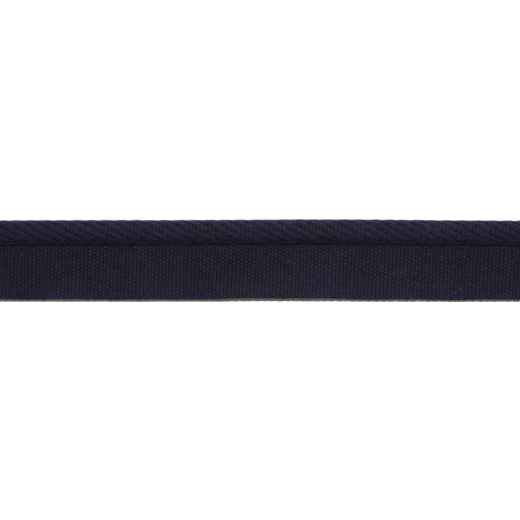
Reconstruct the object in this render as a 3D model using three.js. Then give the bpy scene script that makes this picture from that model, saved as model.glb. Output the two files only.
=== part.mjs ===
// A cut length of woven piping: a round cord in a twill cover, with a flange of plain-woven tape along one side, by
// which it is sewn into a seam. It lies face up on a flat surface: the cord rests on it, and the flange comes from the
// cord's side and slopes down until its outer part lies flat.
// Millimetres. X runs along the cord, Y goes across the flange towards the cord, and Z points up. The origin is on the
// surface, under the middle of the trim's bounding box.
import * as THREE from "three";

// The weft crosses cover and flange alike, so its pitch sets the length and the slant of the twill.
const PICK_PITCH = 0.767;
const PICKS = 160; // a whole number of twill repeats, so that cut lengths can be butted
const LENGTH = PICKS * PICK_PITCH;

const CORD_DIAMETER = 5.0;
const COVER_ENDS = 36; // warp ends round the cord
const TWILL_REPEAT = 4; // ends, and picks, in one repeat of the twill
const TWILL_RIBS = COVER_ENDS / TWILL_REPEAT;
const TWILL_LEAD = COVER_ENDS * PICK_PITCH; // the length in which a rib goes once round the cord
const CORD_PRESSED = 0.1; // how far the underside is flattened where it rests
const CORD_STEPS = PICKS / 2;

// One rib of the cover, across its width: at which share of the width, and how far below the crown.
const RIB_SECTION = [
  { share: 0.0, depth: 0.15 },
  { share: 0.25, depth: 0.03 },
  { share: 0.5, depth: 0.0 },
  { share: 0.75, depth: 0.03 },
];

const OVERALL_WIDTH = 16.35; // from the flange's outer edge to the cord's far side
const FLANGE_THICKNESS = 1.0;
const FLANGE_STEPS = PICKS / 4;
const SELVEDGE_RADIUS = 0.35; // how far in from the outer edge the faces begin to turn over it
const FLANGE_FLAT = 3.36; // the width along the outer edge that lies flat
const ROOT_HEIGHT = 1.9; // at the cord, how high the middle of the flange's thickness is
const SLOPE_POWER = 1.4; // how the slope grows towards the cord
const SLOPE_SHARES = [0.82, 0.62, 0.42, 0.22, 0]; // where the section has its points, from the cord to the flat part
const PIECE_GAP = 0.3;

// How the trim wanders sideways along its length: the cord's axis, and the flange's outer edge.
const WANDER = [
  { x: -61.36, axis: -0.06, edge: 0.04 },
  { x: -41.0, axis: 0.04, edge: 0.04 },
  { x: -27.0, axis: 0.06, edge: 0.02 },
  { x: -12.0, axis: 0.1, edge: 0.06 },
  { x: 0.0, axis: 0.16, edge: 0.24 },
  { x: 12.0, axis: 0.22, edge: 0.23 },
  { x: 21.0, axis: 0.18, edge: 0.06 },
  { x: 29.0, axis: 0.13, edge: 0.04 },
  { x: 40.0, axis: 0.02, edge: -0.05 },
  { x: 61.36, axis: -0.06, edge: 0.04 },
];

const COVER_COLOUR = 0x2c2a3c;
const FLANGE_COLOUR = 0x27253a;
const COTTON_ROUGHNESS = 0.9;

const CORD_RADIUS = CORD_DIAMETER / 2;
const AXIS_HEIGHT = CORD_RADIUS - CORD_PRESSED;
const FLANGE_EDGE = CORD_RADIUS - OVERALL_WIDTH; // from the cord's axis
const FLANGE_ROOT = -CORD_RADIUS - PIECE_GAP;
const SLOPE_END = FLANGE_EDGE + FLANGE_FLAT;

const wanderCurve = new THREE.CubicInterpolant(
  WANDER.map((row) => row.x),
  WANDER.flatMap((row) => [row.axis, row.edge]),
  2,
);

// The sideways shift of the cord's axis and of the flange's edge at x.
function wanderAt(x) {
  const [axis, edge] = wanderCurve.evaluate(x);
  return { axis, edge };
}

// The x of each of a sweep's sections, from one cut end to the other.
function stations(steps) {
  return Array.from({ length: steps + 1 }, (_, i) => (i / steps - 0.5) * LENGTH);
}

// A closed solid through sections of equal point count, each an outline in the YZ plane that turns from +Y to +Z.
// They follow each other along +X, and a fan round each end's middle closes it.
function sweepSections(sections) {
  const count = sections[0].length;
  const points = sections.flat();
  const faces = [];
  for (let ring = 0; ring < sections.length - 1; ring++) {
    for (let i = 0; i < count; i++) {
      const a = ring * count + i;
      const b = ring * count + ((i + 1) % count);
      faces.push(a, b, b + count);
      faces.push(a, b + count, a + count);
    }
  }
  closeEnd(points, faces, sections[0], 0, true);
  closeEnd(points, faces, sections.at(-1), (sections.length - 1) * count, false);
  const geometry = new THREE.BufferGeometry().setFromPoints(points);
  geometry.setIndex(faces);
  geometry.computeVertexNormals();
  return geometry;
}

// Adds the flat cut face at one end, whose outline starts at vertex number first.
function closeEnd(points, faces, section, first, facesBack) {
  const outline = section.map((point) => new THREE.Vector2(point.y, point.z));
  for (const [i, j, k] of THREE.ShapeUtils.triangulateShape(outline, [])) {
    const [a, b, c] = [first + i, first + j, first + k];
    faces.push(...(facesBack ? [a, c, b] : [a, b, c]));
  }
}

// The cover's outline at x. Its ribs turn with x, from the cord's far side over the top towards the flange.
function coverSection(x) {
  const shift = wanderAt(x).axis;
  const turned = (2 * Math.PI * x) / TWILL_LEAD;
  const section = [];
  for (let rib = 0; rib < TWILL_RIBS; rib++) {
    for (const { share, depth } of RIB_SECTION) {
      const angle = turned + (2 * Math.PI * (rib + share)) / TWILL_RIBS;
      const radius = CORD_RADIUS - depth;
      const height = AXIS_HEIGHT + radius * Math.sin(angle);
      section.push(new THREE.Vector3(x, shift + radius * Math.cos(angle), Math.max(height, 0)));
    }
  }
  return section;
}

// The flange's point on the side that faces the cord, a gap away from it, at that height.
function rootPoint(z) {
  const reach = CORD_RADIUS + PIECE_GAP;
  return [-Math.sqrt(reach ** 2 - (z - AXIS_HEIGHT) ** 2), z];
}

// How high the middle of the flange's thickness is, at a share of the way up the slope to the cord.
function middleHeight(share) {
  return FLANGE_THICKNESS / 2 + (ROOT_HEIGHT - FLANGE_THICKNESS / 2) * share ** SLOPE_POWER;
}

// The flange's outline, as [y, z] from under the cord's axis: along the top from the cord to the outer edge, and back
// along the underside.
function flangeProfile() {
  const half = FLANGE_THICKNESS / 2;
  const turn = SELVEDGE_RADIUS;
  const inner = 0.3 * turn;
  const slope = (side) =>
    SLOPE_SHARES.map((share) => [
      THREE.MathUtils.lerp(SLOPE_END, FLANGE_ROOT, share),
      middleHeight(share) + side * half,
    ]);
  return [
    rootPoint(ROOT_HEIGHT - half),
    rootPoint(ROOT_HEIGHT),
    rootPoint(ROOT_HEIGHT + half),
    ...slope(1),
    [FLANGE_EDGE + turn, 2 * half],
    [FLANGE_EDGE + inner, 2 * half - inner],
    [FLANGE_EDGE, half],
    [FLANGE_EDGE + inner, inner],
    [FLANGE_EDGE + turn, 0],
    ...slope(-1).reverse(),
  ];
}

// The flange's outline at x: it follows the cord at its root and wanders on its own at its outer edge.
function flangeSection(x) {
  const { axis, edge } = wanderAt(x);
  return flangeProfile().map(([y, z]) => {
    const outward = THREE.MathUtils.clamp(y / FLANGE_EDGE, 0, 1);
    return new THREE.Vector3(x, y + THREE.MathUtils.lerp(axis, edge, outward), z);
  });
}

function cottonMesh(name, geometry, color) {
  const material = new THREE.MeshStandardMaterial({ color, roughness: COTTON_ROUGHNESS, metalness: 0 });
  const mesh = new THREE.Mesh(geometry, material);
  mesh.name = name;
  return mesh;
}

const cord = cottonMesh("cord", sweepSections(stations(CORD_STEPS).map(coverSection)), COVER_COLOUR);
const flange = cottonMesh("flange", sweepSections(stations(FLANGE_STEPS).map(flangeSection)), FLANGE_COLOUR);

// The sections stand round the cord's axis, and the trim is moved so that the origin is under its middle.
const trim = new THREE.Group();
trim.add(cord, flange);
const middle = new THREE.Box3().setFromObject(trim).getCenter(new THREE.Vector3());
trim.position.y = -middle.y;

const part = new THREE.Group();
part.add(trim);

export default part;
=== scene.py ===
"""A cut length of navy woven piping, face up on a pale floor: a round cord in a twill cover, and beside it
the flange of plain-woven tape by which it is sewn in. Cover and flange share their picks, as one weft
crosses both. Shapes are worked out in millimetres, across from the cord's axis, and trim_point() puts them
into the row frame. Picks are counted along the trim, and ends round the cord or across the tape."""

import math

import bpy
import numpy as np
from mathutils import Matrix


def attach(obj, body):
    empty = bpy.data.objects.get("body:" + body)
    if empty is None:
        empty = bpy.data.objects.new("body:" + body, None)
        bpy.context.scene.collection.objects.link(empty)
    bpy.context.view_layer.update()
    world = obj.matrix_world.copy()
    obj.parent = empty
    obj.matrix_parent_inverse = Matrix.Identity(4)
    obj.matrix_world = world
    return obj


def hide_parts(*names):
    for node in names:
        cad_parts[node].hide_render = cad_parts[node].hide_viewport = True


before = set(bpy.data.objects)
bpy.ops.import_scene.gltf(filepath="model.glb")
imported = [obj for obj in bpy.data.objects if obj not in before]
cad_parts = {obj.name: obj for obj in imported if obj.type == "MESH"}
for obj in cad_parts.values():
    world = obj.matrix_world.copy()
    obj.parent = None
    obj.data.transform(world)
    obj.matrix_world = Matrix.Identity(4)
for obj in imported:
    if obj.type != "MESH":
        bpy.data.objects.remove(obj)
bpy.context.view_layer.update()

MM = 0.001
SEED = 1607

# The trim's sizes, as in the part's source, in millimetres.
PICK_PITCH = 0.767
PICKS = 160
LENGTH = PICKS * PICK_PITCH
CORD_DIAMETER = 5.0
CORD_RADIUS = CORD_DIAMETER / 2
CORD_PRESSED = 0.1
AXIS_HEIGHT = CORD_RADIUS - CORD_PRESSED
AXIS_Y = 5.51
COVER_ENDS = 36
TWILL_REPEAT = 4
OVERALL_WIDTH = 16.35
FLANGE_EDGE = CORD_RADIUS - OVERALL_WIDTH
FLANGE_THICKNESS = 1.0
FLANGE_FLAT = 3.36
ROOT_HEIGHT = 1.9
SLOPE_POWER = 1.4
PIECE_GAP = 0.3
FLANGE_ROOT = -CORD_RADIUS - PIECE_GAP
SLOPE_END = FLANGE_EDGE + FLANGE_FLAT
WANDER_X = np.array([-61.36, -41, -27, -12, 0, 12, 21, 29, 40, 61.36])
WANDER_AXIS = np.array([-0.06, 0.04, 0.06, 0.1, 0.16, 0.22, 0.18, 0.13, 0.02, -0.06])
WANDER_EDGE = np.array([0.04, 0.04, 0.02, 0.06, 0.24, 0.23, 0.06, 0.04, -0.05, 0.04])

# Where cover and tape meet, in millimetres.
ROOT_PINCH = 0.14  # how far the tape reaches into the round
ROOT_GAP = 0.04  # between the tape and the cover there
COVER_PINCH = ROOT_PINCH + 0.02  # how far the join draws the cover in
ROOT_LIP = 0.36  # how far the tape's face turns up against the cord
LIP_WIDTH = 0.55

ON_FLOOR = 0.01  # the lowest that cloth comes, above the floor

PICK_LEAN = 0.044  # how far picks trail behind, for each millimetre from the axis
# The waves of the uneven beat-up: depth, length in picks, lean in radians a millimetre, and start.
BEAT_UP = [(0.10, 37.0, 0.09, 0.6), (0.05, 13.7, -0.21, 2.1), (0.03, 5.3, 0.33, 4.0)]
STEADY_PICKS = 6  # over which both fade out towards each cut end


def smooth_through(x, knots, values):
    """A smooth curve through the values at the knots: between two knots it is the cubic whose slope at each
    is the rise over the run of that knot's neighbours, and it runs out straight at the ends."""
    inner = (values[2:] - values[:-2]) / (knots[2:] - knots[:-2])
    first = 1.5 * (values[1] - values[0]) / (knots[1] - knots[0]) - 0.5 * inner[0]
    last = 1.5 * (values[-1] - values[-2]) / (knots[-1] - knots[-2]) - 0.5 * inner[-1]
    slopes = np.concatenate([[first], inner, [last]])
    i = np.clip(np.searchsorted(knots, x, side="right") - 1, 0, len(knots) - 2)
    run = knots[i + 1] - knots[i]
    t = (x - knots[i]) / run
    from_left = (1 + 2 * t) * (1 - t) ** 2 * values[i] + t * (1 - t) ** 2 * run * slopes[i]
    from_right = t * t * (3 - 2 * t) * values[i + 1] + t * t * (t - 1) * run * slopes[i + 1]
    return from_left + from_right


def trim_point(x, across, z):
    """Row-frame points in metres. The sideways shift goes from the axis's own at the cord to the edge's own
    at the flange's outer edge, in step with the distance from the axis."""
    outward = np.clip(across / FLANGE_EDGE, 0, 1)
    shift = (1 - outward) * smooth_through(x, WANDER_X, WANDER_AXIS)
    shift = shift + outward * smooth_through(x, WANDER_X, WANDER_EDGE)
    return np.stack(np.broadcast_arrays(x, AXIS_Y + across + shift, z), axis=-1) * MM


def smoothstep(t):
    """0 below 0, 1 above 1, and 3t^2 - 2t^3 between."""
    t = np.clip(t, 0, 1)
    return t * t * (3 - 2 * t)


def rise(value, start, width):
    """0 up to the start, 1 from the width beyond it, and a smoothstep between."""
    return smoothstep((value - start) / width)


def fall(value, end, width):
    """1 up to the width before the end, 0 from the end on, and a smoothstep between."""
    return smoothstep((end - value) / width)


def half_round(off, bulge=1.0):
    """The height of a yarn's round section, the square root of 1 - bulge * off^2, less that at its
    middle."""
    return np.sqrt(np.clip(1 - bulge * off**2, 0, 1)) - 1


def uneven(rng, shape, row_step, column_step):
    """Gentle random unevenness over a grid, about -1 to 1: random numbers every so many rows and columns,
    joined by smoothstep both ways."""

    def weights(count, step):
        at = np.arange(count) / step
        low = np.floor(at).astype(int)
        share = smoothstep(at - low)
        table = np.zeros((count, low[-1] + 2))
        table[np.arange(count), low] = 1 - share
        table[np.arange(count), low + 1] = share
        return table

    down = weights(shape[0], row_step)
    along = weights(shape[1], column_step)
    knots = rng.uniform(-1, 1, (down.shape[1], along.shape[1]))
    return down @ knots @ along.T


def pick_x(pick, across):
    """Where a pick lies along the trim: in step with its number, with a lean in proportion to the distance
    from the axis, and the sines of the uneven beat-up. Lean and sines fade out at the cut ends."""
    waves = PICK_LEAN * across
    for depth, length, lean, start in BEAT_UP:
        waves = waves + depth * np.sin(2 * np.pi * pick / length + lean * across + start)
    fade = smoothstep(np.minimum(pick, PICKS - pick) / STEADY_PICKS)
    return (pick / PICKS - 0.5) * LENGTH + waves * fade


def between_picks(pick):
    """How far a place is from the nearest line between two picks, in picks."""
    return 0.5 - np.abs(np.mod(pick, 1) - 0.5)


def cells(grid):
    """The four corners of each cell of a grid, in turn."""
    return np.stack([grid[:-1, :-1], grid[:-1, 1:], grid[1:, 1:], grid[1:, :-1]], axis=2)


class Cloth:
    """One closed mesh, put together from grids that share their edge points."""

    def __init__(self, name):
        self.name = name
        self.points = []
        self.values = {}
        self.count = 0
        self.faces = []
        self.maps = {}

    def add(self, points, **values):
        """Adds points, with their values by attribute name, and gives their numbers in the same grid."""
        shape = points.shape[:-1]
        size = int(np.prod(shape))
        for name in set(self.values) | set(values):
            known = self.values.setdefault(name, [np.zeros(self.count)])
            known.append(np.broadcast_to(values.get(name, 0.0), shape).ravel())
        self.points.append(points.reshape(-1, 3))
        numbers = self.count + np.arange(size).reshape(shape)
        self.count += size
        return numbers

    def corners(self, faces, **maps):
        """Adds faces, an array of corner numbers with one row each, and their UV corners by map name."""
        self.faces.append(faces)
        for name in maps:
            self.maps.setdefault(name, []).append(maps[name].reshape(-1, 2))

    def skin(self, numbers, **maps):
        """Four-cornered faces over a grid of point numbers. Each map is a grid of UV points of the same
        size."""
        uv = {name: cells(grid).reshape(-1, 4, 2) for name, grid in maps.items()}
        self.corners(cells(numbers).reshape(-1, 4), **uv)

    def piece(self, material):
        """The finished mesh as an object of its own at the origin."""
        mesh = bpy.data.meshes.new(self.name)
        points = np.concatenate(self.points)
        sizes = np.concatenate([np.full(len(f), f.shape[1]) for f in self.faces])
        corners = np.concatenate([f.ravel() for f in self.faces])
        mesh.vertices.add(len(points))
        mesh.vertices.foreach_set("co", points.astype(np.float32).ravel())
        mesh.loops.add(len(corners))
        mesh.loops.foreach_set("vertex_index", corners.astype(np.int32))
        mesh.polygons.add(len(sizes))
        starts = np.concatenate([[0], np.cumsum(sizes)[:-1]])
        mesh.polygons.foreach_set("loop_start", starts.astype(np.int32))
        mesh.polygons.foreach_set("use_smooth", np.ones(len(sizes), bool))
        for name, parts in self.maps.items():
            layer = mesh.uv_layers.new(name=name)
            layer.data.foreach_set("uv", np.concatenate(parts).astype(np.float32).ravel())
        for name, parts in self.values.items():
            attribute = mesh.attributes.new(name, "FLOAT", "POINT")
            attribute.data.foreach_set("value", np.concatenate(parts).astype(np.float32))
        mesh.update(calc_edges=True)
        mesh.validate()
        mesh.materials.append(material)
        thing = bpy.data.objects.new(self.name, mesh)
        bpy.context.scene.collection.objects.link(thing)
        return thing


# The camera looks straight down from far away.
PHOTO_WIDTH = 107.4  # how much of the length the picture shows
LENS = 200.0
SENSOR = 36.0
CAMERA_Y = -0.206
NEAREST_SEEN = 0.01
FARTHEST_SEEN = 20.0


def make_camera():
    """The camera over the trim's middle, as high as its lens needs to take in the photo's width."""
    data = bpy.data.cameras.new("camera")
    data.lens = LENS
    data.sensor_width = SENSOR
    data.clip_start = NEAREST_SEEN
    data.clip_end = FARTHEST_SEEN
    camera = bpy.data.objects.new("camera", data)
    camera.location = (0, CAMERA_Y * MM, (AXIS_HEIGHT + PHOTO_WIDTH * LENS / SENSOR) * MM)
    bpy.context.scene.collection.objects.link(camera)
    bpy.context.scene.camera = camera


make_camera()


class Value:
    """A socket that gives a number or a vector. Arithmetic on it adds Math nodes."""

    def __init__(self, finish, socket):
        self.finish = finish
        self.socket = socket

    def maths(self, operation, *others, clamp=False):
        settings = {"operation": operation, "use_clamp": clamp}
        return self.finish.node("ShaderNodeMath", settings, dict(enumerate((self, *others))))

    def __add__(self, other):
        return self.maths("ADD", other)

    __radd__ = __add__

    def __sub__(self, other):
        return self.maths("SUBTRACT", other)

    def __rsub__(self, other):
        settings = {"operation": "SUBTRACT"}
        return self.finish.node("ShaderNodeMath", settings, {0: other, 1: self})

    def __mul__(self, other):
        return self.maths("MULTIPLY", other)

    __rmul__ = __mul__

    def sine(self):
        return self.maths("SINE")

    def clipped(self):
        return self.maths("ADD", 0.0, clamp=True)


class Finish:
    """A material, and the one way by which its nodes are added."""

    def __init__(self, name):
        self.material = bpy.data.materials.new(name)
        self.material.use_nodes = True
        self.tree = self.material.node_tree
        self.tree.nodes.clear()

    def node(self, kind, settings=None, inputs=None, output=0):
        """Adds a node of that kind, sets its settings, then its sockets to values or links, and gives one
        output."""
        made = self.tree.nodes.new(kind)
        for name, setting in (settings or {}).items():
            setattr(made, name, setting)
        for name, given in (inputs or {}).items():
            if isinstance(given, Value):
                self.tree.links.new(given.socket, made.inputs[name])
            else:
                made.inputs[name].default_value = given
        return Value(self, made.outputs[output])

    def attribute(self, name):
        return self.node("ShaderNodeAttribute", {"attribute_name": name}, output="Fac")

    def on_object(self):
        return self.node("ShaderNodeTexCoord", output="Object")

    def noise(self, vector, scale, detail=2.0, roughness=0.5):
        sockets = {"Vector": vector, "Scale": scale, "Detail": detail, "Roughness": roughness}
        return self.node("ShaderNodeTexNoise", {"noise_dimensions": "3D"}, sockets, "Fac")

    def ramp(self, share, *stops):
        """A colour that goes through the stops, each a place from 0 to 1 and its colour."""
        made = self.node("ShaderNodeValToRGB", {}, {"Fac": share}, "Color")
        ramp = made.socket.node.color_ramp
        while len(ramp.elements) < len(stops):
            ramp.elements.new(0.5)
        for element, (place, colour) in zip(ramp.elements, stops):
            element.position = place
            element.color = colour
        return made

    def between(self, share, first, second):
        """A colour that goes from the first to the second with the share. The Mix node's colours are its
        inputs 6 and 7 and its output 2."""
        sockets = {"Factor": share, 6: first, 7: second}
        return self.node("ShaderNodeMix", {"data_type": "RGBA"}, sockets, 2)

    def stretched(self, vector, sizes):
        """The vector times a size along each of its directions."""
        return self.node("ShaderNodeVectorMath", {"operation": "MULTIPLY"}, {0: vector, 1: sizes})

    def complete(self, **sockets):
        """Ends the material with the Principled shader. Constants are set on the shader itself."""
        names = {name.replace("_", " "): given for name, given in sockets.items()}
        shader = self.node("ShaderNodeBsdfPrincipled", {}, names)
        out = self.tree.nodes.new("ShaderNodeOutputMaterial")
        self.tree.links.new(shader.socket, out.inputs["Surface"])
        return self.material


# Linear colours of the dyed cotton.
# NAVY_DEEP is the ramp's dark end, reached by painted shade in the crevices and by dark crumbs.
NAVY_DEEP = (0.0026, 0.0024, 0.0030, 1)
NAVY = (0.0084, 0.0076, 0.0156, 1)
NAVY_CREST = (0.0195, 0.0183, 0.0390, 1)
LINT_AND_FILL_LIGHT = (0.034, 0.0315, 0.0325, 1)  # lint in the groove, and painted fill light that lightens its shade
NAVY_HAIR = (0.055, 0.052, 0.060, 1)
NEP = (0.42, 0.40, 0.44, 1)  # tiny knots of undyed fibre
# A painted highlight on the fuzz along the far rim, which faces the lamp.
LILAC_HIGHLIGHT_HAIR = (0.135, 0.147, 0.355, 1)
SHEEN_TINT = (0.32, 0.43, 1.0, 1)
CARD_SHADED = (0.84, 0.815, 0.80, 1)
CARD_PALE = (0.86, 0.84, 0.825, 1)

# The cotton's patterns. Scales are per metre, and stretches are by end and by pick.
FIBRE_SCALE = 9000.0
GRAIN_SCALE = 3500.0
PATCH_SCALE = 110.0
HAIR_SCALE = 1800.0
MOTTLE_SCALE = 40.0
WARP_STREAK = (1.7, 0.22, 1.0)
WEFT_STREAK = (0.16, 1.9, 1.0)
WEFT_PLY_SHARE = 0.55  # how the weft's plies turn, against the warp's
CRUMBS_PER_MM = 2.2
CRUMB_ORDER = 0.3  # how far they keep to one direction
GABOR_DIRECTION = 4  # the number of that input
TONE_DEPTH = 0.20
FIBRE_DEPTH = 0.5
# how far the painted shade darkens the colour
PAINTED_SHADE_DEPTH = 0.85
LINT_AND_FILL_COVER = 0.4  # how much of the dye the lint and painted fill light hide, and what the fibres add:
LINT_AND_FILL_PATCHES = 0.8
BUMP_STRENGTH = 0.6
BUMP_HEIGHT = 0.00003  # in metres
PLY_HEIGHT = 0.35  # of the plies' bumps, against the fibres'
ROUGHNESS = 0.98
CREST_SMOOTHER = 0.16


def woven_cotton(
    name,
    lightness,
    ply_turns,
    ply_depth,
    end_width,
    streak_depth,
    crumb_depth,
    grain_depth,
    patch_depth,
    sheen,
):
    """Navy cotton yarns. The colour goes from painted shade in the crevices to lighter on the crests, with
    streaks along each yarn, crumbs as long as a float, and flecks of its fibres. The twist of two plies, a
    sine slanted across the yarn, shows in colour and bump. Lint, with painted fill light, lies over it
    where that attribute says."""
    f = Finish(name)
    yarn = f.node("ShaderNodeUVMap", {"uv_map": "yarn"})
    spot = f.on_object()
    crevice = f.attribute("crevice")
    weft = f.attribute("weft")
    tone = f.attribute("tone")
    turned = f.attribute("ply")
    parts = f.node("ShaderNodeSeparateXYZ", {}, {0: yarn})
    across = Value(f, parts.socket.node.outputs[0])
    along = Value(f, parts.socket.node.outputs[1])
    warp_plies = ((across + along * ply_turns + turned) * (2 * math.pi)).sine()
    weft_plies = ((along + across * (ply_turns * WEFT_PLY_SHARE) + turned) * (2 * math.pi)).sine()
    plies = warp_plies * (1 - weft) + weft_plies * weft
    along_warp = f.noise(f.stretched(yarn, WARP_STREAK), 1.0, 2.0)
    along_weft = f.noise(f.stretched(yarn, WEFT_STREAK), 1.0, 2.0)
    streak = along_warp * (1 - weft) + along_weft * weft
    on_cloth = f.stretched(yarn, (end_width, PICK_PITCH, 0.0))
    crumbs = {"Vector": on_cloth, "Scale": 1.0, "Frequency": CRUMBS_PER_MM, "Anisotropy": CRUMB_ORDER}
    crumbs = f.node("ShaderNodeTexGabor", {}, {**crumbs, GABOR_DIRECTION: 0.0}, "Value")
    fibres = f.noise(spot, FIBRE_SCALE, 3.0, 0.6)
    grain = f.noise(spot, GRAIN_SCALE, 0.0)
    patches = f.noise(spot, PATCH_SCALE, 1.0)
    varied = tone * TONE_DEPTH + (streak - 0.5) * streak_depth + (fibres - 0.5) * FIBRE_DEPTH
    varied = varied + (crumbs - 0.5) * crumb_depth + (grain - 0.5) * grain_depth + plies * ply_depth
    varied = varied + (patches - 0.5) * patch_depth
    # The ramp's share: the lightness and the random variation, less the painted shade.
    crest = (varied + lightness - crevice * PAINTED_SHADE_DEPTH).clipped()
    dyed_and_shaded = f.ramp(crest, (0.0, NAVY_DEEP), (0.5, NAVY), (1.0, NAVY_CREST))
    # Lint, with painted fill light that lightens the groove's shade, lies over the dye and painted shade.
    colour = f.between(f.attribute("lint") * (LINT_AND_FILL_COVER + fibres * LINT_AND_FILL_PATCHES), dyed_and_shaded, LINT_AND_FILL_LIGHT)
    height = plies * PLY_HEIGHT + fibres
    bump = {"Strength": BUMP_STRENGTH, "Distance": BUMP_HEIGHT, "Height": height}
    bumped = f.node("ShaderNodeBump", {}, bump)
    rough = (ROUGHNESS - crest * CREST_SMOOTHER).clipped()
    return f.complete(
        Base_Color=colour,
        Roughness=rough,
        Normal=bumped,
        Specular_IOR_Level=0.08,
        Sheen_Weight=sheen,
        Sheen_Roughness=0.3,
        Sheen_Tint=SHEEN_TINT,
    )


def hair_cotton(name, colour, pale):
    """Loose fibres, each a little lighter or darker than its neighbours, by a noise over the object."""
    f = Finish(name)
    mixed = f.between(f.noise(f.on_object(), HAIR_SCALE), colour, pale)
    return f.complete(Base_Color=mixed, Roughness=0.7, Specular_IOR_Level=0.3)


def pale_floor():
    """Warm white card with a faint mottle."""
    f = Finish("floor_card")
    colour = f.between(f.noise(f.on_object(), MOTTLE_SCALE), CARD_SHADED, CARD_PALE)
    return f.complete(Base_Color=colour, Roughness=0.9, Specular_IOR_Level=0.1)


STRIP_MARGIN_U = 0.004
STRIP_MARGIN_V = 0.003


def lay_out_strips(cloth, sides, strips, height):
    """Skins each side of a long piece in lengths. A side is a grid of point numbers, its yarn map, and its
    share of the baking map, on which each length is a strip with the trim's length from left to right."""
    each = height / (strips * sum(share for _, _, share in sides))
    base = 0.0
    for numbers, yarn, share in sides:
        rows = np.linspace(0, len(numbers) - 1, strips + 1).round().astype(int)
        for first, last in zip(rows[:-1], rows[1:] + 1):
            u = np.linspace(STRIP_MARGIN_U, 1 - STRIP_MARGIN_U, last - first)
            v = np.linspace(base + STRIP_MARGIN_V, base + share * each - STRIP_MARGIN_V, numbers.shape[1])
            bake = np.stack(np.meshgrid(u, v, indexing="ij"), axis=-1)
            cloth.skin(numbers[first:last], yarn=yarn[first:last], OFBake=bake)
            base = base + share * each


NO_YARN = -9.0  # the height where there is none

# The cover's twill, in millimetres, or in ends and picks where it says so.
COVER_STEPS_PER_END = 4
COVER_STEPS_PER_PICK = 4
COVER_RELIEF = 0.21  # from the crest of a float to the bottom of a dip
COVER_YARN = 0.25  # half an end's width, fuller than its share
COVER_ROUND = 0.6  # the height of its round section, as a share of that
COVER_STRAY = 0.07  # sideways, in ends
COVER_FULL = 0.025  # how much higher the warp's fullest stretches are, and the weft's:
COVER_WEFT_FULL = 0.02
COVER_LIFT = 0.03  # over each pick
DIP_REACH = 0.95  # from the bottom of a dip to the float, in picks
FLOAT_ARCH = 0.10  # how much of the relief is the float's own arch
PIT_REACH = 0.33  # in picks
PIT_NARROWING = 0.6  # how much of a pit is gone at an end's side
COVER_WEFT_LEVEL = -0.17
COVER_WEFT_ROUND = 0.12
COVER_WEFT_BULGE = 0.9
COVER_BLEND = 0.04  # the step in height over which warp and weft blend
COVER_LUMPS = 0.02
WALE_DEPTH = 0.045  # half the depth of the hollows between wales
FLOAT_TONES = 0.10  # how much the floats differ in tone, and single crossings:
CROSSING_TONES = 0.12

# The join with the tape, in degrees from the cord's side.
JOIN_ABOVE = 20
JOIN_BELOW = 28
JOIN_EASE = 12
JOIN_SMOOTHS = 0.85  # how much of the relief goes at the join, and near the tape:
NEAR_SMOOTHS = 0.4
# How far round from the side the lint and painted fill light reach, and their ease.
COVER_LINT_AND_FILL = 38
COVER_LINT_AND_FILL_EASE = 28

# Bands along the cover: start and width, by the cosine of the angle from the far side, or for the near side
# from the tape's.
FAR_SIDE = (0.3, 0.6)
UPPER_SIDE = (-0.2, 0.3)
RIM = (0.74, 0.15)
NEAR_SIDE = (0.5, 0.4)

# How deep the painted shade on the cover's colour is, from 0 to 1.
RELIEF_SHADE = 0.66
SHADED_DEPTH = 0.3  # at which that is full
PICK_LINE_SHADE = 0.32
UPPER_PICK_LINE_SHADE = 0.20
PIT_SHADE = 0.25
VALLEY_SHADE = 0.02
LOW_VALLEY_SHADE = 0.07
FAR_VALLEY_SHADE = 0.40
# The one deep painted shade of the side towards the tape, away from the lamp, and how far the shade is
# drawn to it:
NEAR_SHADE = 0.82
NEAR_SHARE = 0.55
# A painted highlight along the far rim, which faces the lamp:
RIM_PAINTED_HIGHLIGHT = 0.25
PICK_LINE = 0.33  # half the width of a line between picks, in picks


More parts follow.
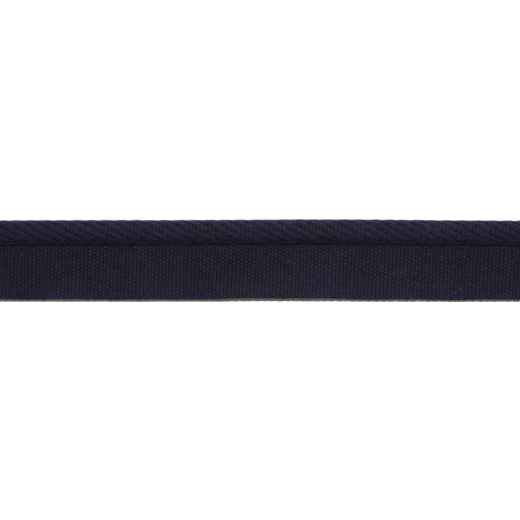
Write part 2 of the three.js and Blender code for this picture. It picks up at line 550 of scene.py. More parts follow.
def cover_relief(rng, pick, end):
    """How high the cover's surface is from its crests, how much of it is weft, its tone, the turn of its
    plies, and how near it is to a dip's bottom. A 3/1 twill: each end floats over three picks and dips
    under the fourth, one pick later than its neighbour. An end is round across its width and arched along
    its float; the weft shows at the dips as a low round bar. The surface is the higher of the two."""
    pitch = math.pi * CORD_DIAMETER / COVER_ENDS
    fullness = uneven(rng, pick.shape, 9, 5)
    sideways = uneven(rng, pick.shape, 7, 5) * COVER_STRAY
    warp = np.full(pick.shape, NO_YARN)
    pit = np.zeros(pick.shape)
    for beside in (-1, 0, 1):
        number = np.floor(end) + beside
        off = (end + sideways - number - 0.5) * pitch / COVER_YARN
        turn = np.mod(pick - 0.5 - number, TWILL_REPEAT)
        from_dip = np.minimum(turn, TWILL_REPEAT - turn)
        narrowed = np.clip(1 - np.abs(off) * PIT_NARROWING, 0, 1)
        pit = np.maximum(pit, np.exp(-((from_dip / PIT_REACH) ** 2)) * narrowed)
        arch = smoothstep(from_dip / DIP_REACH) * (1 - FLOAT_ARCH + FLOAT_ARCH * smoothstep(from_dip / 2))
        lift = COVER_LIFT * np.cos(2 * np.pi * (pick - 0.5))
        height = COVER_RELIEF * (arch - 1) + lift + COVER_YARN * COVER_ROUND * half_round(off)
        warp = np.maximum(warp, np.where(np.abs(off) < 1, height, NO_YARN))
    warp = warp + COVER_FULL * fullness
    along = (np.mod(pick, 1) - 0.5) / 0.5
    weft = COVER_WEFT_LEVEL + COVER_WEFT_ROUND * half_round(along, COVER_WEFT_BULGE)
    weft = weft + COVER_WEFT_FULL * fullness[::-1]
    number = np.floor(end).astype(int)
    of_float = np.floor((pick - 0.5 - number) / TWILL_REPEAT).astype(int) + COVER_ENDS // TWILL_REPEAT + 1
    tone = rng.normal(size=(of_float.max() + 1, COVER_ENDS))[of_float, number] * FLOAT_TONES
    crossings = rng.normal(size=(PICKS + 1, COVER_ENDS))[np.floor(pick).astype(int), number]
    tone = tone + CROSSING_TONES * crossings
    ply = rng.uniform(0, 1, COVER_ENDS)[number] + 0.5 * uneven(rng, pick.shape, 30, 5)
    weft_share = np.clip((weft - warp) / COVER_BLEND + 0.5, 0, 1)
    return np.maximum(warp, weft), weft_share, tone, ply, pit


def cover_shade(pick, angle, relief, pit, wale):
    """How deep the painted shade on the cover's colour is: the sum of painted shade for its depth in the
    relief, the lines between picks, the dips' pits and the valleys between wales, which are deepest on the
    far side.
    Near the tape, on the side away from the lamp, it evens out towards one deep painted shade, and at the
    far rim, towards the lamp, it is lighter by a painted highlight."""
    from_far = np.cos(angle)
    off_crown = 1 - np.sin(np.clip(angle, 0, np.pi))
    far = rise(from_far, *FAR_SIDE)
    valley = VALLEY_SHADE + LOW_VALLEY_SHADE * off_crown + FAR_VALLEY_SHADE * far
    line = PICK_LINE_SHADE + UPPER_PICK_LINE_SHADE * rise(from_far, *UPPER_SIDE)
    line = line * smoothstep(1 - between_picks(pick) / PICK_LINE)
    shade = np.clip(-relief / SHADED_DEPTH, 0, 1) * RELIEF_SHADE + line
    shade = shade + PIT_SHADE * pit + valley * (0.5 + 0.5 * wale)
    shade = shade + (NEAR_SHADE - shade) * NEAR_SHARE * rise(-from_far, *NEAR_SIDE)
    return shade - RIM_PAINTED_HIGHLIGHT * rise(from_far, *RIM)


def cord_cover(rng, material):
    """The woven cover of the cord: a tube whose radius is the cord's and the relief, less the hollows
    between the wales. The join draws it in, and it is flattened where it lies on the floor."""
    cloth = Cloth("cord_cover")
    around = COVER_ENDS * COVER_STEPS_PER_END
    pick, end = np.meshgrid(
        np.arange(PICKS * COVER_STEPS_PER_PICK + 1) / COVER_STEPS_PER_PICK,
        np.arange(around) / COVER_STEPS_PER_END,
        indexing="ij",
    )
    relief, weft, tone, ply, pit = cover_relief(rng, pick, end)
    angle = 2 * np.pi * end / COVER_ENDS
    wale = np.cos(2 * np.pi * (pick - 0.5 - end) / TWILL_REPEAT)
    lumps = COVER_LUMPS * uneven(rng, pick.shape, 14, 30) - WALE_DEPTH * (1 + wale)
    below_side = np.degrees(angle - np.pi)
    from_side = np.abs(below_side)
    joined = fall(from_side, np.where(below_side > 0, JOIN_BELOW, JOIN_ABOVE), JOIN_EASE)
    smoothed = (1 - JOIN_SMOOTHS * joined) * (1 - NEAR_SMOOTHS * rise(-np.cos(angle), *NEAR_SIDE))
    radius = CORD_RADIUS + (relief + lumps) * smoothed - COVER_PINCH * joined
    across = radius * np.cos(angle)
    height = np.maximum(AXIS_HEIGHT + radius * np.sin(angle), ON_FLOOR)
    # The tone differs at random; that it doubles on the far side, towards the lamp, is painted light and
    # shade.
    tone = tone * (1 + rise(np.cos(angle), *FAR_SIDE))
    # Lint, with painted fill light that lightens the groove's shade.
    lint = fall(from_side, COVER_LINT_AND_FILL, COVER_LINT_AND_FILL_EASE)
    crevice = cover_shade(pick, angle, relief, pit, wale)
    values = {"crevice": crevice, "weft": weft, "tone": tone, "ply": ply, "lint": lint}
    numbers = cloth.add(trim_point(pick_x(pick, across), across, height), **values)
    wrapped = np.concatenate([numbers, numbers[:, :1]], axis=1)
    yarn = np.stack(np.meshgrid(np.arange(around + 1) / COVER_STEPS_PER_END, pick[:, 0]), axis=-1)
    lay_out_strips(cloth, [(wrapped, yarn, 1)], 3, 0.94)
    for row, facing in ((0, -1), (-1, 1)):
        cut_cord_end(cloth, rng, wrapped[row], radius[row], facing)
    return cloth.piece(material)


# The filler's strands at a cut end, in millimetres.
STRAND_RADIUS = 0.42
STRAND_SPACING = 0.8
STRAND_STRAY = 0.08
STRAND_RINGS = (1, 6, 12)  # how many are in the middle and in each ring
STRANDS_TURN = 0.26  # the angle of each ring's first strand
STRAND_DOME = 0.16  # how far a strand stands out of the cut
STRAND_HOLLOW = -0.4  # between them, as a share of that
FILLER_BEHIND = 0.12  # how far the filler lies behind the cover's own cut
FILLER_RIM = (0.86, 0.1)  # where it ends, as a share of the radius, and how wide it fades out
COVER_CUT = 0.04  # how far the cover stands out, and from which share on:
COVER_RIM = 0.9
CENTRE_OUT = 0.02
CUT_SHARES = np.array([0.93, 0.84, 0.74, 0.64, 0.54, 0.44, 0.34, 0.24, 0.14, 0.06])[:, None]
DISC_V = 0.97  # the height of the cut ends' discs on the baking map, and their radius:
DISC_RADIUS = 0.026
DISC_ASIDE = 0.03  # how far each is from the map's middle
DISC_ENDS = 6  # their radius on the yarn map


def cut_cord_end(cloth, rng, rim, rim_radius, facing):
    """The cut face: rings from the rim to the middle. It stands out as a dome over each strand of the
    filler, by 1 - (distance / strand radius)^2, and has a shallow step where the cover's thickness ends."""
    around = len(rim) - 1
    angle = 2 * np.pi * np.arange(around)[None, :] / around
    radius = CUT_SHARES * rim_radius[None, :]
    across = radius * np.cos(angle)
    height = radius * np.sin(angle)
    ring = np.repeat(np.arange(len(STRAND_RINGS)), STRAND_RINGS)
    place = np.concatenate([np.arange(n) / n for n in STRAND_RINGS]) * 2 * np.pi + STRANDS_TURN
    middle = np.stack([ring * STRAND_SPACING * np.cos(place), ring * STRAND_SPACING * np.sin(place)])
    middle = middle + rng.uniform(-STRAND_STRAY, STRAND_STRAY, middle.shape)
    away = np.hypot(across[..., None] - middle[0], height[..., None] - middle[1]).min(axis=-1)
    dome = np.clip(1 - (away / STRAND_RADIUS) ** 2, STRAND_HOLLOW, 1)
    out = STRAND_DOME * dome - FILLER_BEHIND * fall(CUT_SHARES, *FILLER_RIM)
    out = np.where(CUT_SHARES > COVER_RIM, COVER_CUT, out)
    end_x = facing * (LENGTH / 2 + out)
    height = np.maximum(AXIS_HEIGHT + height, ON_FLOOR)
    # The cut face's colour has painted shade in the hollows between the strands' domes.
    numbers = cloth.add(trim_point(end_x, across, height), crevice=np.clip(0.55 - 0.5 * dome, 0, 1))
    centre = cloth.add(trim_point(np.array([facing * (LENGTH / 2 + CENTRE_OUT)]), 0.0, AXIS_HEIGHT))
    wrapped = np.concatenate([numbers, numbers[:, :1]], axis=1)
    turned = np.append(angle[0], 2 * np.pi)[None, :]
    spread = np.concatenate([[[1.0]], CUT_SHARES]) * np.ones((1, around + 1))
    disc = np.stack([spread * np.cos(turned), spread * np.sin(turned)], axis=-1)
    hub = np.array([0.5 + DISC_ASIDE * facing, DISC_V])
    layers = (np.concatenate([rim[None, :], wrapped]), disc * DISC_ENDS, hub + DISC_RADIUS * disc)
    grid, yarn, bake = (layer[::-1, ::-facing] for layer in layers)
    cloth.skin(grid, yarn=yarn, OFBake=bake)
    fan = np.stack([grid[0, 1:], grid[0, :-1], np.broadcast_to(centre, around)], axis=1)
    hubs = np.broadcast_to(hub, (around, 2))
    fan_yarn = np.stack([yarn[0, 1:], yarn[0, :-1], np.zeros((around, 2))], axis=1)
    cloth.corners(fan, yarn=fan_yarn, OFBake=np.stack([bake[0, 1:], bake[0, :-1], hubs], axis=1))


# The tape's plain weave, in millimetres, or in ends and picks where it says so.
TAPE_ENDS = 33
TAPE_STEPS_PER_END = 4
TAPE_STEPS_PER_PICK = 3
TAPE_PITCH = 0.39
TAPE_YARN = 0.215  # half an end's width
TAPE_ROUND = 0.8  # the height of its round section, as a share of that
TAPE_CRIMP = 0.155  # how far it rises over a pick and falls under the next
TAPE_SLACK = 0.25  # how much less it does where it is slack
TAPE_STRAY = 0.14  # sideways, in ends
TAPE_LEAN = -0.16  # how much later it waves at its side, in picks
TAPE_FULL = 0.02
TAPE_WEFT = 0.36  # half the width of a pick
TAPE_WEFT_ROUND = 0.30
TAPE_WEFT_BULGE = 0.86
TAPE_WEFT_LEVEL = -0.05
TAPE_WEFT_CRIMP = 0.05
TAPE_BLEND = 0.05
TAPE_TONES = 0.25  # how much the crossings differ in tone

# The tape's section and its outer edge.
SELVEDGE_TURN = 0.2  # how far in from the edge the faces begin to turn
SELVEDGE_SWELL = 0.01
CORNER_EASE = 0.12  # how far each way its corners are eased
FINE_STEPS = 40  # for that, in each step of the section
TURN_SWELL = 0.03  # how far each turn swells, every second one, and one at random:
PAIR_SWELL = 0.015
RANDOM_SWELL = 0.05
OUTER_START = -8.5  # where the outer part starts, from the axis, and how wide it is:
OUTER_WIDTH = 5.35
RIPPLE = 0.05  # the outer edge's own slow ripple sideways, and its length:
RIPPLE_LENGTH = 17.6
RIPPLE_START = 3.0  # in radians
EDGE_LIFT = 0.12
DRAWN_IN_LIFT = 1.3  # how much more for each millimetre that it is drawn in
WAVE_LIFT = 0.03
LIFT_PICKS = 23.0  # the length of that wave, in picks

# Bands along the tape, in ends from the cord: the relief's start and width, above and below, and where the
# root's painted shade and its lint and painted fill light stop, and their width.
TOP_RELIEF = (1.0, 3.5)
LOW_RELIEF = (1.3, 1.2)
ROOT_SHADED = (5.3, 3.0)
ROOT_LINT_AND_FILL = (1.6, 1.4)
RELIEF_EASE = 0.6  # over which it fades out at the outer edge
EDGE_ENDS = 1.6  # how wide the edge is, in ends, and the selvedge:
SELVEDGE_ENDS = 5.0

# How deep the painted shade on the tape's colour is, from 0 to 1.
TAPE_RELIEF_SHADE = 0.57
TAPE_CREST = 0.12  # the relief above which there is no shade
TAPE_SHADED_DEPTH = 0.36  # how far below that it is full
TAPE_PICK_LINE_SHADE = 0.41
EDGE_LIGHT = 0.7  # how much of the painted shade goes at the edge, and towards the selvedge:
SELVEDGE_LIGHT = 0.4
# The one deep painted shade at the root, where the cord's shadow falls, and how far the shade is drawn to
# it:
ROOT_SHADE = 0.80
ROOT_SHARE = 0.75


def resample(line, count):
    """Points evenly spaced by length along a line, whose corners are cut by a running mean."""

    def spaced(line, count):
        steps = np.concatenate([[0], np.cumsum(np.hypot(*np.diff(line, axis=0).T))])
        at = np.linspace(0, steps[-1], count + 1)
        return np.stack([np.interp(at, steps, line[:, k]) for k in range(2)], axis=1), steps[-1]

    fine = FINE_STEPS * count
    dense, length = spaced(line, fine)
    reach = int(CORNER_EASE / length * fine)
    padded = np.concatenate([np.repeat(dense[:1], reach, 0), dense, np.repeat(dense[-1:], reach, 0)])
    total = np.cumsum(np.concatenate([[[0, 0]], padded]), axis=0)
    width = 2 * reach + 1
    eased = (total[width:] - total[:-width]) / width
    eased[0] = dense[0]
    eased[-1] = dense[-1]
    return spaced(eased, count)[0]


def flange_middle(across):
    """The height of the middle of the tape's thickness: half the thickness along the flat outer part, and
    from there up to the root's height by the share of the way to the cord, raised to a power."""
    share = np.clip((across - SLOPE_END) / (FLANGE_ROOT - SLOPE_END), 0, 1)
    return FLANGE_THICKNESS / 2 + (ROOT_HEIGHT - FLANGE_THICKNESS / 2) * share**SLOPE_POWER


def flange_sides():
    """The flange's section as two lines from the cord to the outer edge, over the top and along the
    underside. The top one turns up against the cord, by one less the smoothstep of the distance from the
    root."""
    half = FLANGE_THICKNESS / 2
    root = -CORD_RADIUS + ROOT_PINCH - ROOT_GAP
    edge = FLANGE_EDGE - SELVEDGE_SWELL
    at_root = np.linspace(root, root - LIP_WIDTH, 12)[:-1]
    across = np.concatenate([at_root, np.linspace(root - LIP_WIDTH, edge + SELVEDGE_TURN, 40)])
    inner = 0.3 * SELVEDGE_TURN
    sides = []
    for up in (1, -1):
        lip = ROOT_LIP * (1 - smoothstep((root - across) / LIP_WIDTH)) if up > 0 else 0.0
        face = np.stack([across, flange_middle(across) + up * half + lip], axis=1)
        turn = [[edge + inner, half + up * (half - inner)], [edge, half]]
        sides.append(np.concatenate([[[root, ROOT_HEIGHT]], face, turn]))
    return sides


def tape_relief(rng, pick, end, over):
    """How far the tape's face is above or below its mean, how much of it is weft, its tone and the turn of
    its plies. A plain weave: an end is over a pick where their numbers add up to an even number, on the
    face, or an odd one, on the back. The ends wave by the cosine of half a turn a pick, and are round
    across; the picks are wider, straighter and round the other way. The surface is the higher of the
    two."""
    slack = uneven(rng, pick.shape, 16, 11)
    sideways = uneven(rng, pick.shape, 5, 4) * TAPE_STRAY
    fullness = uneven(rng, pick.shape, 4, 4)
    phase = 0.0 if over else 1.0
    warp = np.full(pick.shape, NO_YARN)
    for beside in (-1, 0, 1):
        number = np.floor(end) + beside
        off = (end + sideways - number - 0.5) * TAPE_PITCH / TAPE_YARN
        wave = np.cos(np.pi * (pick + TAPE_LEAN * off - 0.5 - number + phase))
        height = TAPE_CRIMP * (1 - TAPE_SLACK * slack) * wave + TAPE_YARN * TAPE_ROUND * half_round(off)
        warp = np.maximum(warp, np.where(np.abs(off) < 1, height, NO_YARN))
    along = (np.mod(pick, 1) - 0.5) * PICK_PITCH / TAPE_WEFT
    crossed = np.cos(np.pi * (np.mod(np.floor(pick), 2) + end - 0.5 + phase))
    weft = TAPE_WEFT_LEVEL + TAPE_WEFT_CRIMP * slack - TAPE_WEFT_CRIMP * crossed
    weft = weft + TAPE_WEFT_ROUND * half_round(along, TAPE_WEFT_BULGE)
    number = np.minimum(np.floor(end).astype(int), TAPE_ENDS - 1)
    row = np.minimum(np.floor(pick).astype(int), PICKS - 1)
    tone = rng.normal(size=(PICKS, TAPE_ENDS))[row, number] * TAPE_TONES
    ply = rng.uniform(0, 1, (PICKS, TAPE_ENDS))[row, number]
    weft_share = np.clip((weft - warp) / TAPE_BLEND + 0.5, 0, 1)
    return np.maximum(warp + TAPE_FULL * fullness, weft), weft_share, tone, ply


def face_normals(line):
    """Unit directions square to a line of the section, to the left of its way, so up on the top side."""
    along = np.gradient(line, axis=0)
    along = along / np.hypot(along[:, 0], along[:, 1])[:, None]
    return np.stack([along[:, 1], -along[:, 0]], axis=1)


def edge_ripple(x):
    """How far the outer edge ripples towards the cord: a sine along the trim."""
    return RIPPLE * np.sin(2 * np.pi * x / RIPPLE_LENGTH + RIPPLE_START)


def edge_lift(pick):
    """How far the outer edge lifts off the floor: most where the edge draws in towards the cord, so that
    its shadow keeps a straight line, and in a slow wave along the tape."""
    x = (pick / PICKS - 0.5) * LENGTH
    drawn_in = smooth_through(x, WANDER_X, WANDER_EDGE) + edge_ripple(x)
    return EDGE_LIFT + DRAWN_IN_LIFT * drawn_in + WAVE_LIFT * np.sin(2 * np.pi * pick / LIFT_PICKS)


def outer_part(across):
    """The share of the way from where the outer part starts to the outer edge."""
    return np.clip((OUTER_START - across) / OUTER_WIDTH, 0, 1)


def tape_shade(pick, end, relief, near_edge, near_root):
    """How deep the painted shade on the tape's colour is: the sum of painted shade for its depth in the
    relief and the lines between picks, less towards the edge and the selvedge, and drawn to one deep
    painted shade at the root, where the cord's shadow falls."""
    shade = np.clip((TAPE_CREST - relief) / TAPE_SHADED_DEPTH, 0, 1) * TAPE_RELIEF_SHADE
    shade = shade + TAPE_PICK_LINE_SHADE * smoothstep(1 - between_picks(pick) / PICK_LINE)
    near_selvedge = rise(end, TAPE_ENDS - SELVEDGE_ENDS, SELVEDGE_ENDS)
    shade = np.clip(shade, 0, 1) * (1 - EDGE_LIGHT * near_edge) * (1 - SELVEDGE_LIGHT * near_selvedge)
    return shade + (ROOT_SHADE - shade) * ROOT_SHARE * near_root


def flange_tape(rng, material):
    """The tape: its section's two sides, carried along the cord. Each side stands out from its line by the
    weave's relief, which fades at the root and over the outer edge. That edge swells with each turn of the
    weft by a cosine a pick, ripples, and lifts a little off the floor."""
    cloth = Cloth("flange_tape")
    over, under = flange_sides()
    top_line = resample(over, TAPE_ENDS * TAPE_STEPS_PER_END)
    low_line = resample(under, TAPE_ENDS * TAPE_STEPS_PER_END // 2)
    picks = np.arange(PICKS * TAPE_STEPS_PER_PICK + 1) / TAPE_STEPS_PER_PICK
    sides = []
    for line, is_top in ((top_line, True), (low_line, False)):
        normal = face_normals(line) * (1 if is_top else -1)
        pick, end = np.meshgrid(picks, np.arange(len(line)) / (len(line) - 1) * TAPE_ENDS, indexing="ij")
        relief, weft, tone, ply = tape_relief(rng, pick, end, is_top)
        full_relief = rise(end, *TOP_RELIEF) if is_top else rise(end, *LOW_RELIEF)
        relief = relief * (full_relief * fall(end, TAPE_ENDS, RELIEF_EASE))
        y = line[None, :, 0] + normal[None, :, 0] * relief
        z = line[None, :, 1] + normal[None, :, 1] * relief
        sides.append((is_top, pick, end, y, z, relief, weft, tone, ply))
    random_turns = RANDOM_SWELL * rng.normal(size=PICKS + 1)
    grids = []
    for is_top, pick, end, y, z, relief, weft, tone, ply in sides:
        near_edge = rise(end, TAPE_ENDS - EDGE_ENDS, EDGE_ENDS)
        swell = TURN_SWELL * np.cos(2 * np.pi * (pick - 0.5)) + PAIR_SWELL * np.cos(np.pi * pick)
        swell = swell + random_turns[np.floor(pick).astype(int)] * (0.5 - 0.5 * np.cos(2 * np.pi * pick))
        y = y - near_edge * swell + edge_ripple(pick_x(pick, y)) * outer_part(y)
        z = np.maximum(z + edge_lift(pick) * outer_part(y) ** 2, ON_FLOOR)
        # Painted shade at the root, where the cord's shadow falls.
        near_root = fall(end, *ROOT_SHADED) * is_top
        # Lint, with painted fill light that lightens the shade, near the root.
        lint = 0.5 * near_root + 0.5 * fall(end, *ROOT_LINT_AND_FILL) * is_top
        crevice = tape_shade(pick, end, relief, near_edge, near_root)
        values = {"crevice": crevice, "weft": weft, "tone": tone, "ply": ply, "lint": lint}
        grids.append((trim_point(pick_x(pick, y), y, z), values, end, pick))
    (points, values, end, pick), (low_points, low_values, low_end, low_pick) = grids
    top = cloth.add(points, **values)
    low = cloth.add(low_points[:, 1:-1], **{name: grid[:, 1:-1] for name, grid in low_values.items()})
    low = np.concatenate([top[:, :1], low, top[:, -1:]], axis=1)
    yarn_top = np.stack([end, pick], axis=-1)
    yarn_low = np.stack([low_end + TAPE_ENDS + 3, low_pick], axis=-1)
    lay_out_strips(cloth, [(top, yarn_top, 2), (low[:, ::-1], yarn_low[:, ::-1], 1)], 2, 0.93)
    for row, facing in ((0, -1), (-1, 1)):
        cut_tape_end(cloth, top[row], low[row], facing)
    return cloth.piece(material)


END_DOME = 0.20  # how far a tape end stands out of the cut
END_BEHIND = 0.04  # how far the cut lies back between them
END_SWING = 0.12  # how high or low it lies, as a share of the thickness, and half its height:
END_HALF_HEIGHT = 0.42
CUT_WIDTH = 0.46  # of a cut end on the baking map, and where each starts:
CUT_STARTS = {-1: 0.02, 1: 0.52}
CUT_TOP = 0.985  # the height there of its top edge, and its height in all:
CUT_HEIGHT = 0.045
CUT_ENDS = 40  # how much larger it is on the yarn map


def cut_tape_end(cloth, top, low, facing):
    """The cut end: rows from the top side's edge to the underside's. Each end of the warp stands out as a
    dome, by the sine across it, and its middle is high or low as the weave has it. The top side has twice
    the underside's points, so the first row of faces goes from two steps to one in threes of triangles."""
    points = np.concatenate(cloth.points)
    shares = np.array([0.2, 0.4, 0.6, 0.8])[:, None]
    number = np.arange(len(low))[None, :] / 2
    middle = 0.5 + END_SWING * np.cos(np.pi * np.floor(number))
    dome = np.abs(np.sin(np.pi * number)) * np.clip(1 - ((shares - middle) / END_HALF_HEIGHT) ** 2, 0, 1)
    between = points[top[::2]] * (1 - shares[..., None]) + points[low] * shares[..., None]
    between[..., 0] += facing * (END_DOME * dome - END_BEHIND) * MM
    # Painted shade between the ends' domes.
    crevice = np.clip(0.75 - 0.6 * dome, 0, 1)
    made = cloth.add(between[:, 1:-1], crevice=crevice[:, 1:-1])
    one_each = np.ones((len(shares), 1), int)
    rows = np.concatenate([one_each * top[0], made, one_each * top[-1]], axis=1)

    def on_map(count, level):
        u = CUT_STARTS[facing] + CUT_WIDTH * np.arange(count) / (count - 1)
        return np.stack([u, np.full(count, level)], axis=-1)

    def threes(edge, row):
        a, b, c = edge[:-1:2], edge[1::2], edge[2::2]
        i, j = row[:-1], row[1:]
        return [np.stack(corners, 1) for corners in ((a, b, i), (b, j, i), (b, c, j))]

    levels = CUT_TOP - CUT_HEIGHT * np.concatenate([shares[:, 0], [1.0]])
    lower = np.concatenate([rows, low[None, :]])
    lower_map = np.stack([on_map(len(low), level) for level in levels])
    faces = list(zip(threes(top, rows[0]), threes(on_map(len(top), CUT_TOP), lower_map[0])))
    faces.append((cells(lower).reshape(-1, 4), cells(lower_map).reshape(-1, 4, 2)))
    for numbers, uv in faces:
        whole = np.array([len(set(n)) == len(n) for n in numbers.tolist()])
        add_cut_faces(cloth, numbers[whole], uv[whole], facing)
        if numbers.shape[1] == 4:
            add_narrow_faces(cloth, numbers[~whole], uv[~whole], facing)


def add_cut_faces(cloth, numbers, uv, facing):
    """Adds faces of a cut end, turned the other way at the end that faces -X."""
    if facing < 0:
        numbers = numbers[:, ::-1]
        uv = uv[:, ::-1]
    cloth.corners(numbers, yarn=uv * CUT_ENDS, OFBake=uv)


def add_narrow_faces(cloth, numbers, uv, facing):
    """The outermost faces of the cut end, which have two corners on one point and so are triangles."""
    for n, spots in zip(numbers, uv):
        first = [k for k in range(4) if n[k] not in n[:k]]
        if len(first) == 3:
            add_cut_faces(cloth, n[None, first], spots[None, first], facing)


FIBRE_STEPS = 4
FIBRE_SIDES = 3
FIBRE_CURL = 0.55  # how far a fibre bends aside at most, in its lengths
FIBRE_TAPER = 0.6
FIBRE_FLOOR = 0.02  # the lowest that a fibre comes, in millimetres


def fibres(name, roots, normals, rng, length, stand, thickness, material):
    """Loose fibres: from each root a curve that starts along a random direction, part way up from the
    surface, and bends steadily to one side as it goes. Each is a three-sided tube that tapers, closed at
    both ends."""
    count = len(roots)
    random = rng.normal(size=(count, 3))
    side = random - (random * normals).sum(1, keepdims=True) * normals
    side /= np.linalg.norm(side, axis=1, keepdims=True)
    up = rng.uniform(stand[0], stand[1], (count, 1))
    way = side * (1 - up) + normals * up
    way /= np.linalg.norm(way, axis=1, keepdims=True)
    bend = np.cross(way, rng.normal(size=(count, 3)))
    bend /= np.linalg.norm(bend, axis=1, keepdims=True)
    long = rng.uniform(length[0], length[1], (count, 1, 1)) * MM
    t = np.linspace(0, 1, FIBRE_STEPS)[None, :, None]
    curl = rng.uniform(-FIBRE_CURL, FIBRE_CURL, (count, 1, 1))
    line = roots[:, None] + long * (way[:, None] * t + bend[:, None] * curl * t**2)
    line[..., 2] = np.maximum(line[..., 2], FIBRE_FLOOR * MM)
    other = np.cross(way, bend)
    turn = 2 * np.pi * np.arange(FIBRE_SIDES) / FIBRE_SIDES
    ring = bend[:, None] * np.cos(turn)[None, :, None] + other[:, None] * np.sin(turn)[None, :, None]
    radius = thickness * MM * (1 - FIBRE_TAPER * t)
    points = line[:, :, None] + ring[:, None] * radius[..., None]
    cloth = Cloth(name)
    numbers = cloth.add(points)
    after = np.roll(numbers, -1, axis=2)
    quads = np.stack([numbers[:, :-1], after[:, :-1], after[:, 1:], numbers[:, 1:]], axis=-1)
    cloth.corners(quads.reshape(-1, 4))
    cloth.corners(numbers[:, 0, ::-1].reshape(-1, FIBRE_SIDES))
    cloth.corners(numbers[:, -1].reshape(-1, FIBRE_SIDES))
    return cloth.piece(material)


def grown(rng, name, piece, count, weight, length, stand, thickness, material, tuft=1):
    """Fibres that grow out of a piece at random points, in tufts of so many. They are the more likely the
    larger the weight, a function of the directions straight out."""

    def of_points(kind):
        values = np.zeros(len(piece.data.vertices) * 3, np.float32)
        piece.data.vertices.foreach_get(kind, values)
        return values.reshape(-1, 3).astype(float)

    normals = of_points("normal")
    likely = weight(normals)
    chosen = np.repeat(rng.choice(len(normals), count, p=likely / likely.sum()), tuft)
    return fibres(name, of_points("co")[chosen], normals[chosen], rng, length, stand, thickness, material)


def over_cord(out):
    """A few all over the cord, and most along its far side."""
    return np.clip(out[:, 2] + 0.4, 0.02, 1) * (0.06 + smoothstep(2.5 * out[:, 1] - 1.4))


def in_groove(out):
    """On the cord's side that faces the tape, from just below its middle upwards."""
    return rise(-out[:, 1], 0.8, 0.15) * rise(out[:, 2], -0.05, 0.2)


def over_tape(out):
    """All over the tape's face, and most along its outer edge."""
    return np.clip(out[:, 2] + 0.3, 0.02, 1.0) + rise(-out[:, 1], 0.5, 0.3)


def on_flat_face(out):
    return rise(out[:, 2], 0.8, 0.1)


def on_cut_ends(out):
    return rise(np.abs(out[:, 0]), 0.5, 0.3)


FLOOR_RADIUS = 4.0
FLOOR_SIDES = 64


def make_floor():
    """A round floor, a fan of triangles about its middle, wider than any view."""
    turn = 2 * np.pi * np.arange(FLOOR_SIDES) / FLOOR_SIDES
    rim = FLOOR_RADIUS * np.stack([np.cos(turn), np.sin(turn), 0 * turn], axis=-1)
    floor = Cloth("floor")
    middle = floor.add(np.zeros((1, 3)))
    numbers = floor.add(rim)
    fan = np.stack([np.broadcast_to(middle, FLOOR_SIDES), numbers, np.roll(numbers, -1)], axis=1)
    floor.corners(fan)
    piece = floor.piece(pale_floor())


LAMP_TILT = math.radians(29)  # off the vertical, towards the cord's far side
LAMP_LEAN = math.radians(-4)
LAMP_DISTANCE = 1.4
LAMP_SIZE = 0.16
LAMP_POWER = 22.0
LAMP_COLOUR = (0.95, 0.98, 1.115)
BEAM_POWER = 80.0
BEAM_X = 0.016  # where the beam is brightest
BEAM_RADIUS = 0.095  # where it has faded out
BEAM_COLOUR = (1.0, 0.97, 0.71)
SKY = 0.23
SKY_COLOUR = (1.0, 0.87, 0.85, 1)


def aim(light, target):
    """A lamp at the lamps' place, which shines at that x on the floor."""
    lamp = bpy.data.objects.new(light.name, light)
    lamp.location = (
        LAMP_DISTANCE * math.sin(LAMP_LEAN),
        LAMP_DISTANCE * math.sin(LAMP_TILT),
        LAMP_DISTANCE * math.cos(LAMP_TILT),
    )
    lamp.rotation_mode = "QUATERNION"
    away = lamp.location.copy()
    away.x -= target
    lamp.rotation_quaternion = away.to_track_quat("Z", "Y")
    bpy.context.scene.collection.objects.link(lamp)


def make_lights():
    """A soft lamp high over the far side of the cord, a faint warm beam beside it, and an even pale sky."""
    soft = bpy.data.lights.new("lamp", "AREA")
    soft.shape = "SQUARE"
    soft.size = LAMP_SIZE
    soft.energy = LAMP_POWER
    soft.color = LAMP_COLOUR
    aim(soft, 0.0)
    beam = bpy.data.lights.new("beam", "SPOT")
    beam.shadow_soft_size = LAMP_SIZE / 2
    beam.spot_size = 2 * math.atan(BEAM_RADIUS / LAMP_DISTANCE)
    beam.spot_blend = 1.0
    beam.energy = BEAM_POWER
    beam.color = BEAM_COLOUR
    aim(beam, BEAM_X)
    world = bpy.data.worlds.new("sky")
    world.use_nodes = True
    sky = world.node_tree.nodes["Background"]
    sky.inputs["Color"].default_value = SKY_COLOUR
    sky.inputs["Strength"].default_value = SKY
    bpy.context.scene.world = world
    bpy.context.scene.view_settings.view_transform = "Standard"


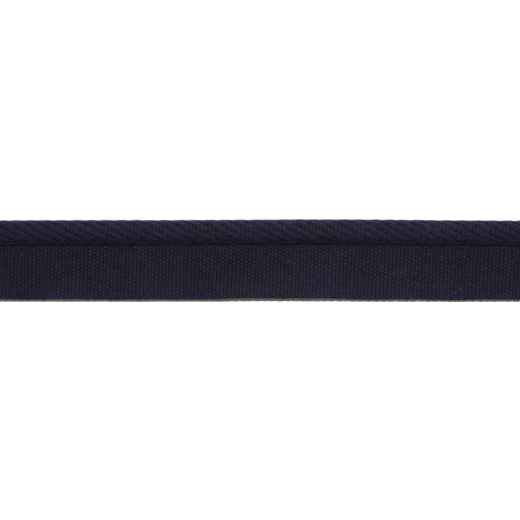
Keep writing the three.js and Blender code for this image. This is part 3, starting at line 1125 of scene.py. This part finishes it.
rng = np.random.default_rng(SEED)
cover_cotton = woven_cotton(
    "cover_cotton",
    lightness=0.735,
    ply_turns=1.55,
    ply_depth=0.12,
    end_width=0.436,
    streak_depth=0.3,
    crumb_depth=2.3,
    grain_depth=0.8,
    patch_depth=0.08,
    sheen=0.65,
)
tape_cotton = woven_cotton(
    "tape_cotton",
    lightness=0.74,
    ply_turns=0.8,
    ply_depth=0.08,
    end_width=0.378,
    streak_depth=0.2,
    crumb_depth=0.9,
    grain_depth=0.5,
    patch_depth=0.18,
    sheen=0.10,
)
cover = cord_cover(rng, cover_cotton)
tape = flange_tape(rng, tape_cotton)

hair = hair_cotton("fuzz_cotton", NAVY_CREST, NAVY_HAIR)
# Fuzz from the crests' navy to a lilac painted highlight; grown most along the far rim.
rim_highlight_hair = hair_cotton("rim_fuzz_highlight", NAVY_CREST, LILAC_HIGHLIGHT_HAIR)
nep = hair_cotton("nep_cotton", NAVY_HAIR, NEP)
# The ranges are the fibres' length and how steeply they stand, and then comes their radius.
cord_fuzz = grown(rng, "cord_fuzz", cover, 8600, over_cord, (0.3, 1.2), (0.05, 0.6), 0.009, rim_highlight_hair)
groove_fuzz = grown(rng, "groove_fuzz", cover, 4000, in_groove, (0.25, 0.7), (0.3, 0.9), 0.009, hair)
tape_fuzz = grown(rng, "flange_fuzz", tape, 2600, over_tape, (0.3, 1.1), (0.05, 0.45), 0.009, hair)
tape_neps = grown(rng, "flange_neps", tape, 20, on_flat_face, (0.08, 0.22), (0.2, 0.9), 0.022, nep, 7)
cord_fray = grown(rng, "cord_fray", cover, 500, on_cut_ends, (0.3, 1.3), (0.5, 1.0), 0.012, hair)
tape_fray = grown(rng, "flange_fray", tape, 500, on_cut_ends, (0.3, 1.3), (0.5, 1.0), 0.012, hair)

for piece, node, slot in (
    (cover, "cord", "cover_cotton"),
    (cord_fuzz, "cord", "cover_cotton"),
    (groove_fuzz, "cord", "cover_cotton"),
    (tape, "flange", "flange_cotton"),
    (cord_fray, "cord", "cover_cotton"),
    (tape_fuzz, "flange", "flange_cotton"),
    (tape_neps, "flange", "flange_cotton"),
    (tape_fray, "flange", "flange_cotton"),
):
    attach(piece, "root")
    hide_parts(node)

AXIS_POINTS = 33
axis_x = np.linspace(-LENGTH / 2, LENGTH / 2, AXIS_POINTS)
axis = trim_point(axis_x, np.zeros(AXIS_POINTS), np.full(AXIS_POINTS, AXIS_HEIGHT))

make_floor()
make_lights()
